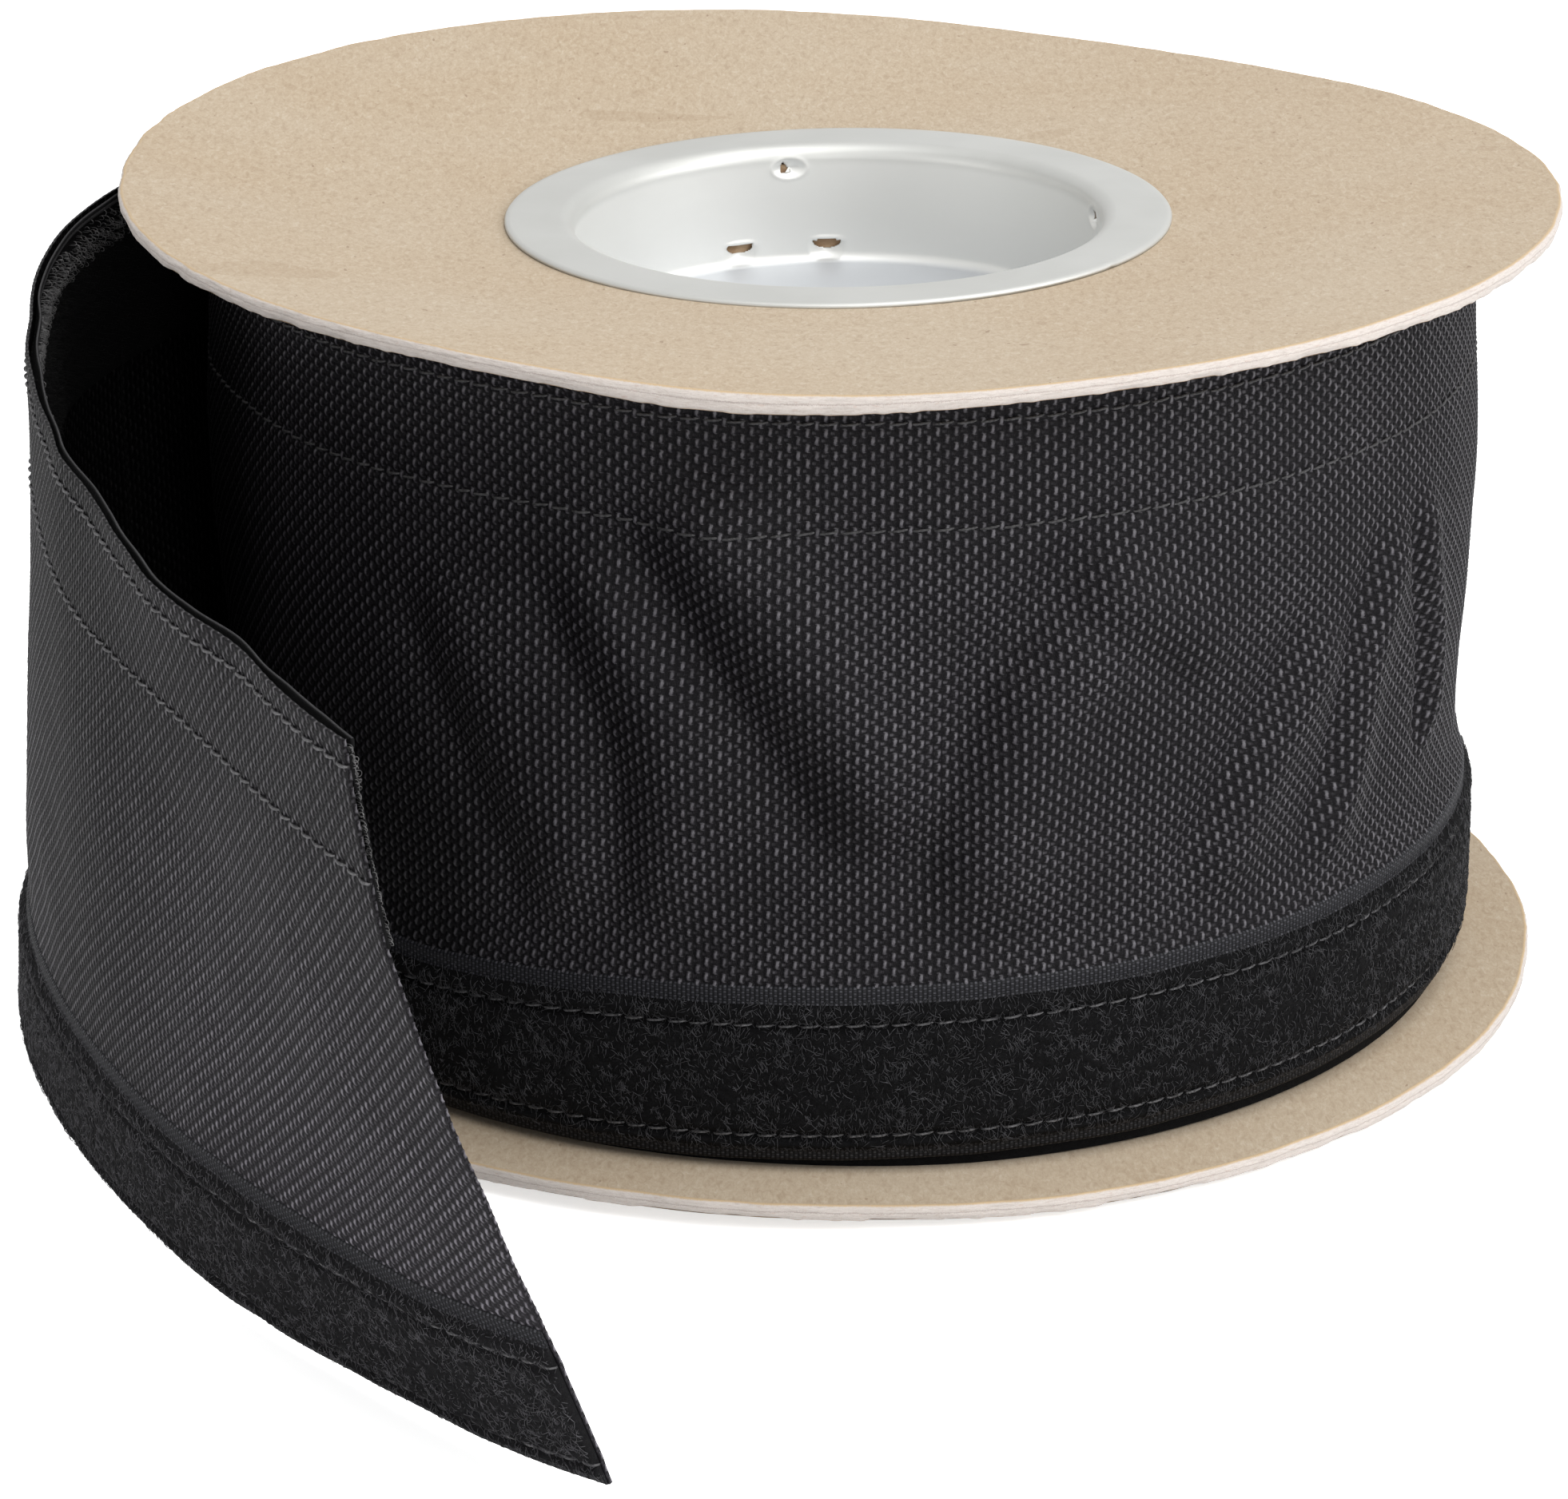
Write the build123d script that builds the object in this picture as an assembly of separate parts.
from build123d import *
import os
from math import ceil, cos, floor, radians, sin, sqrt

# Cardboard reel wound with a woven wrap-around cable cover strip that closes
# with hook-and-loop edges.  Millimetres and degrees, +Z up along the reel's axis.
# Origin: the middle of the reel on its axis, half way between the two hub rims.
# The strip's tail leaves the roll on the -X side and runs off towards -Y.

os.makedirs("parts", exist_ok=True)

# ---------------------------------------------------------------- reel sizes
REEL_HEIGHT = 110.0        # over the two hub rims
BASE_Z = -REEL_HEIGHT / 2
TOP_Z = REEL_HEIGHT / 2
SHEET = 0.4                # tinplate of the drawn hub cups
BOARD = 2.2                # chipboard of the flanges
FLANGE_R = 101.5
FLANGE_HOLE_R = 39.75      # hole the cup's bend seats in
FLANGE_FLAT_R = 48.0       # the top flange is flat out to here
TOP_DISH = 4.6             # the winding has pushed the top flange's edge up by this
HUB_RIM_R = 47.0
HUB_BORE_R = 37.7          # inside wall of the cup
HUB_BEND_R = 2.0           # outside of the bend between rim and wall
HUB_DEPTH = 18.0           # rim plane to the cup's floor
HUB_FLOOR_R = 2.0          # radius between wall and floor
ARBOR_R = 19.05            # hole in each cup's floor
CORE_IN_R = 38.2
CORE_OUT_R = 43.5
CORE_END_GAP = 0.05        # clearance between the core and each flange

# ------------------------------------------------------------------- barbs
BARB_GROUPS = (100.0, 10.0, -80.0, -170.0)   # degrees around the axis
BARB_SPREAD = 9.5                            # lower pair either side of the group
BARB_UPPER_DEPTH = 5.6                       # rim plane to a barb's root
BARB_LOWER_DEPTH = 15.6
BARB_HEIGHT = 2.6
BARB_REACH = 2.1                             # from the inside wall to a tip's middle, roughly
BARB_SIDE_GAP = 0.25                         # clearance from barb to window, each side
WINDOW_WIDTH = 4.2
WINDOW_RISE = 0.3                            # from a barb's root to its window
WINDOW_DEPTH = 3 * SHEET + 1.2               # radial size of the cutter

# -------------------------------------------------------------- start tape
TAB_FROM, TAB_TO = 40, 100   # degrees around the axis
TAB_HEIGHT = 50
TAB_GAP = 0.03               # clearance from the core
TAB_T = 0.15

# ------------------------------------------------------------------- strip
STRIP_W = 104.6            # width of the woven strip
FABRIC_T = 0.6
TAPE_W = 24.9
TAPE_EDGE = 0.3            # each tape stops this far short of the strip's edge
LOOP_T = 1.15              # loop tape with its pile
HOOK_T = 1.1               # hook tape with its hooks
GLUE_GAP = 0.05            # clearance between a tape and the cloth
LOOP_FACE = FABRIC_T + GLUE_GAP + LOOP_T
THREAD_W = 0.5
THREAD_T = 0.24
THREAD_GAP = 0.02          # clearance under the thread
ROW_BOTTOM = 3.9           # stitch rows, measured up from the strip's lower edge
ROW_LOOP = 19.8
ROW_HOOK = 87.6
ROW_TOP = 101.6

# ----------------------------------------------------------------- winding
PITCH = 2.2                # build-up per turn
OUTER_R = 91.4             # inner face of the cloth where the tail leaves
ROOT_DEG = 158.0           # where the tail leaves the roll
INNER_TURNS = 19.5
INNER_START = 360.8        # degrees wound in from the take-off line
INNER_END = 360.0 * (INNER_TURNS + 1)
INNER_SLACK = 1.5          # how far the inner turns sit in from the loose outer turn
INNER_Z = BASE_Z + 2.7     # lower edge of the inner turns
OUTER_RISE = 5.4           # lower edge of the outer turn above the base

# -------------------------------------------------------------------- tail
# x, y, height above the base; from the take-off line to the cut end.
TAIL_FOOT = [
    (-96.4, 8.0, 6.0), (-108.6, -20.5, 6.6), (-114.8, -51.3, 6.0), (-104.4, -79.6, 3.5),
    (-89.4, -106.0, 2.0), (-71.3, -130.2, 1.3), (-50.3, -152.0, 1.5), (-27.2, -171.4, 2.5),
]
# The head only gives the direction up from the foot; the strip's width sets the distance.
TAIL_HEAD = [
    (-95.2, 8.2, 110.4), (-105.4, -20.0, 110.9), (-107.2, -52.5, 110.1), (-100.8, -84.0, 108.1),
    (-91.0, -111.9, 106.6), (-81.5, -139.8, 105.4), (-66.5, -165.5, 104.7), (-52.9, -191.8, 104.4),
]
FIRST_BEND, SECOND_BEND = 0.345, 0.672   # bend lines, as a share of the tail's length
HINGE_GAP = 1.7                          # clear length beside the take-off and bend lines
TAIL_SECTIONS = 7                        # loft sections in each length of tail


# ----------------------------------------------------------------- helpers
def write(shape, name):
    shape.label = name
    export_step(shape, f"parts/{name}.step")


def polar(radius, degrees, z):
    return Vector(radius * cos(radians(degrees)), radius * sin(radians(degrees)), z)


def turned(outline):
    """Revolves a closed outline of (r, z) pieces: two points are a line, three an arc."""
    edges = []
    for piece in outline:
        points = [Vector(r, 0, z) for r, z in piece]
        make = Edge.make_three_point_arc if len(points) == 3 else Edge.make_line
        edges.append(make(*points))
    return Solid.revolve(Face(Wire(edges)), 360, Axis.Z)


def turned_polygon(points):
    return turned(zip(points, points[1:] + points[:1]))


def ring(inner_r, outer_r, bottom, top):
    return turned_polygon([(inner_r, bottom), (outer_r, bottom), (outer_r, top), (inner_r, top)])


# --------------------------------------------------------- flanges and core
def top_flange():
    top = TOP_Z - SHEET
    bottom = top - BOARD
    return turned_polygon([
        (FLANGE_HOLE_R, bottom), (FLANGE_FLAT_R, bottom), (FLANGE_R, bottom + TOP_DISH),
        (FLANGE_R, top + TOP_DISH), (FLANGE_FLAT_R, top), (FLANGE_HOLE_R, top),
    ])


def bottom_flange():
    bottom = BASE_Z + SHEET
    return ring(FLANGE_HOLE_R, FLANGE_R, bottom, bottom + BOARD)


def core_tube():
    half = REEL_HEIGHT / 2 - SHEET - BOARD - CORE_END_GAP
    return ring(CORE_IN_R, CORE_OUT_R, -half, half)


# ---------------------------------------------------------------- hub cups
def cup_skin(offset):
    """One face of the cup's sheet from rim to arbor hole, offset from the inside face."""
    wall_r = HUB_BORE_R + offset
    rim_z = TOP_Z - offset
    floor_z = TOP_Z - HUB_DEPTH - offset
    bend_r, bend_z = HUB_BORE_R + HUB_BEND_R, TOP_Z - HUB_BEND_R      # arc centres
    foot_r, foot_z = HUB_BORE_R - HUB_FLOOR_R, TOP_Z - HUB_DEPTH + HUB_FLOOR_R
    bend_mid = (HUB_BEND_R - offset) * sqrt(0.5)
    foot_mid = (HUB_FLOOR_R + offset) * sqrt(0.5)
    return [
        ((HUB_RIM_R, rim_z), (bend_r, rim_z)),
        ((bend_r, rim_z), (bend_r - bend_mid, bend_z + bend_mid), (wall_r, bend_z)),
        ((wall_r, bend_z), (wall_r, foot_z)),
        ((wall_r, foot_z), (foot_r + foot_mid, foot_z - foot_mid), (foot_r, floor_z)),
        ((foot_r, floor_z), (ARBOR_R, floor_z)),
    ]


def barb(root_z):
    """Tongue rooted in the wall on the +X side, its tip leaning up and outwards."""
    wall, back = HUB_BORE_R, HUB_BORE_R + SHEET
    tip_r, tip_z = HUB_BORE_R + BARB_REACH, root_z + BARB_HEIGHT
    profile = [
        (wall, root_z - 0.2), (back, root_z - 0.2), (back, root_z + 0.2),
        (tip_r + 0.25, tip_z), (tip_r - 0.12, tip_z + 0.05), (wall, root_z + 0.5),
    ]
    width = WINDOW_WIDTH - 2 * BARB_SIDE_GAP
    outline = Wire.make_polygon([Vector(r, -width / 2, z) for r, z in profile], close=True)
    return Solid.extrude(Face(outline), Vector(0, width, 0))


def hub_cup():
    """Top cup: flat rim, bend, wall with barbs, floor with the arbor hole."""
    inside, outside = cup_skin(0), cup_skin(SHEET)
    body = turned(
        inside
        + [(inside[-1][-1], outside[-1][-1])]
        + [piece[::-1] for piece in reversed(outside)]
        + [(outside[0][0], inside[0][0])]
    )
    for group in BARB_GROUPS:
        for depth, angle in (
            (BARB_UPPER_DEPTH, group),
            (BARB_LOWER_DEPTH, group - BARB_SPREAD),
            (BARB_LOWER_DEPTH, group + BARB_SPREAD),
        ):
            root_z = TOP_Z - depth
            window = Pos(HUB_BORE_R + SHEET / 2, 0, root_z + WINDOW_RISE + BARB_HEIGHT / 2) * Box(
                WINDOW_DEPTH, WINDOW_WIDTH, BARB_HEIGHT
            )
            body = body - Rot(0, 0, angle) * window
            body = body + Rot(0, 0, angle) * barb(root_z)
    return body


def start_tape():
    """Tab of tape that holds the strip's first turn on the core."""
    bottom = -TAB_HEIGHT / 2
    radii = (CORE_OUT_R + TAB_GAP, CORE_OUT_R + TAB_GAP + TAB_T)
    angles = (TAB_FROM, (TAB_FROM + TAB_TO) / 2, TAB_TO)
    edges = [Edge.make_three_point_arc(*[polar(r, a, bottom) for a in angles]) for r in radii]
    edges += [Edge.make_line(*[polar(r, a, bottom) for r in radii]) for a in (TAB_FROM, TAB_TO)]
    return Solid.extrude(Face(Wire(edges)), Vector(0, 0, TAB_HEIGHT))


# ------------------------------------------------------------ strip layers
def stitch(row, face):
    """Row of thread lying on a face at the given offset."""
    under = face + THREAD_GAP
    return (row - THREAD_W / 2, row + THREAD_W / 2, under, under + THREAD_T)


# Lower and upper edge up the strip's width, then the inner and outer face as
# offsets from the cloth's inner face.
TAPES = {
    "fabric": (0.0, STRIP_W, 0.0, FABRIC_T),
    "loop_tape": (TAPE_EDGE, TAPE_EDGE + TAPE_W, FABRIC_T + GLUE_GAP, LOOP_FACE),
    "hook_tape": (STRIP_W - TAPE_EDGE - TAPE_W, STRIP_W - TAPE_EDGE,
                  -GLUE_GAP - HOOK_T, -GLUE_GAP),
}
STITCHES = {
    "bottom_stitch": stitch(ROW_BOTTOM, LOOP_FACE),
    "loop_stitch": stitch(ROW_LOOP, LOOP_FACE),
    "hook_stitch": stitch(ROW_HOOK, FABRIC_T),
    "top_stitch": stitch(ROW_TOP, FABRIC_T),
}
ALL_LAYERS = TAPES | STITCHES


# ------------------------------------------------------------- wound strip
def spiral_point(half_turn, wound_in, offset, z):
    """Point on the two-centre spiral; odd half turns have their centre half a pitch over."""
    centre = polar(-PITCH / 2 if half_turn % 2 else 0.0, ROOT_DEG, 0)
    radius = OUTER_R - half_turn * PITCH / 2 + offset
    return centre + polar(radius, ROOT_DEG - wound_in, z)


def wound_ribbon(layer, start, end, strip_z, slack=0.0):
    """A layer wound from start to end, in degrees in from the take-off line."""
    lower, upper, inner, outer = layer
    z = strip_z + lower
    offsets = (inner - slack, outer - slack)
    changes = [180.0 * k for k in range(floor(start / 180) + 1, ceil(end / 180))]
    stops = [start] + changes + [end]
    edges = []
    for a, b in zip(stops, stops[1:]):
        middle = (a + b) / 2
        half_turn = floor(middle / 180)
        for offset in offsets:
            arc = [spiral_point(half_turn, angle, offset, z) for angle in (a, middle, b)]
            edges.append(Edge.make_three_point_arc(*arc))
    for half_turn, angle in ((floor(start / 180), start), (ceil(end / 180) - 1, end)):
        edges.append(Edge.make_line(*[spiral_point(half_turn, angle, o, z) for o in offsets]))
    return Solid.extrude(Face(Wire(edges)), Vector(0, 0, upper - lower))


# ------------------------------------------------------------------- tail
def tail_points(root_rise, table):
    root = polar(OUTER_R, ROOT_DEG, BASE_Z + root_rise)
    return [root] + [Vector(x, y, z + BASE_Z) for x, y, z in table]


def tail_edge(points):
    """Spline that leaves along the roll's tangent and ends along its last chord."""
    leave = polar(1, ROOT_DEG + 90, 0)
    return Edge.make_spline(points, tangents=[leave, (points[-1] - points[-2]).normalized()])


foot_points = tail_points(OUTER_RISE, TAIL_FOOT)
head_points = [
    low + (high - low).normalized() * STRIP_W
    for low, high in zip(foot_points, tail_points(OUTER_RISE + STRIP_W, TAIL_HEAD))
]
foot = tail_edge(foot_points)
head = tail_edge(head_points)


def tail_section(t, layer):
    """Cross-section of a layer at a share t of the tail's length."""
    lower, upper, inner, outer = layer
    origin = foot.position_at(t)
    across = (head.position_at(t) - origin).normalized()
    along = foot.tangent_at(t) + head.tangent_at(t)
    outward = along.cross(across).normalized()
    corners = ((lower, inner), (lower, outer), (upper, outer), (upper, inner))
    return Wire.make_polygon([origin + across * w + outward * o for w, o in corners], close=True)


def tail_ribbon(layer, start, end):
    steps = TAIL_SECTIONS - 1
    return Solid.make_loft(
        [tail_section(start + (end - start) * i / steps, layer) for i in range(TAIL_SECTIONS)]
    )


# ------------------------------------------------------------------- build
write(top_flange(), "top_flange")
write(bottom_flange(), "bottom_flange")
write(core_tube(), "core_tube")
write(hub_cup(), "top_hub_cup")
write(hub_cup().mirror(Plane.XY), "bottom_hub_cup")
write(start_tape(), "start_tape")

# The inner turns carry no stitches.
for name, layer in TAPES.items():
    ribbon = wound_ribbon(layer, INNER_START, INNER_END, INNER_Z, INNER_SLACK)
    write(ribbon, f"inner_turns_{name}")

for name, layer in ALL_LAYERS.items():
    write(wound_ribbon(layer, 0.0, 360.0, BASE_Z + OUTER_RISE), f"outer_turn_{name}")

# The tail is in three lengths, parted at the take-off line and the two bend lines.
gap = HINGE_GAP / foot.length
TAIL_LENGTHS = {
    "tail_root": (gap, FIRST_BEND - gap),
    "tail_middle": (FIRST_BEND + gap, SECOND_BEND - gap),
    "tail_end": (SECOND_BEND + gap, 1.0),
}
for part, (start, end) in TAIL_LENGTHS.items():
    for name, layer in ALL_LAYERS.items():
        write(tail_ribbon(layer, start, end), f"{part}_{name}")
